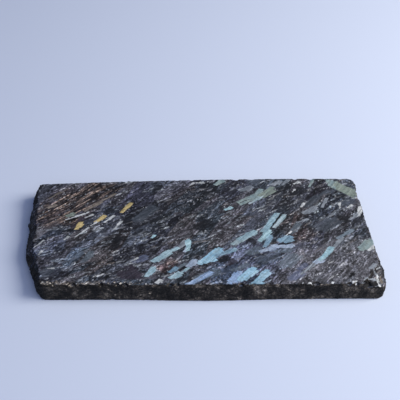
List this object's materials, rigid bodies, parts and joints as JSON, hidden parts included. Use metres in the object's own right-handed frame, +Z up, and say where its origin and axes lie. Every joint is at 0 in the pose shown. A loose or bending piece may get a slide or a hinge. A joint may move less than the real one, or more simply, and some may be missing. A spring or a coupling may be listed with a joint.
{
  "type": "nuummite slab",
  "caption": "Flat slab of dark iridescent amphibole rock, sawn on its faces and long sides and left rough at its broken ends.",
  "frame": {"origin": "middle of the flat underside, which the slab rests on", "axes": "+X along the slab's length to its squarer end, +Y across it towards the back side, +Z up through its thickness"},
  "size_m": [0.1518, 0.0642, 0.0084],
  "materials": {
    "nuummite": "sawn dark rock with a satin sheen and iridescent crystal blades"
  },
  "bodies": {
    "root": {"slab": "nuummite"}
  },
  "joints": []
}
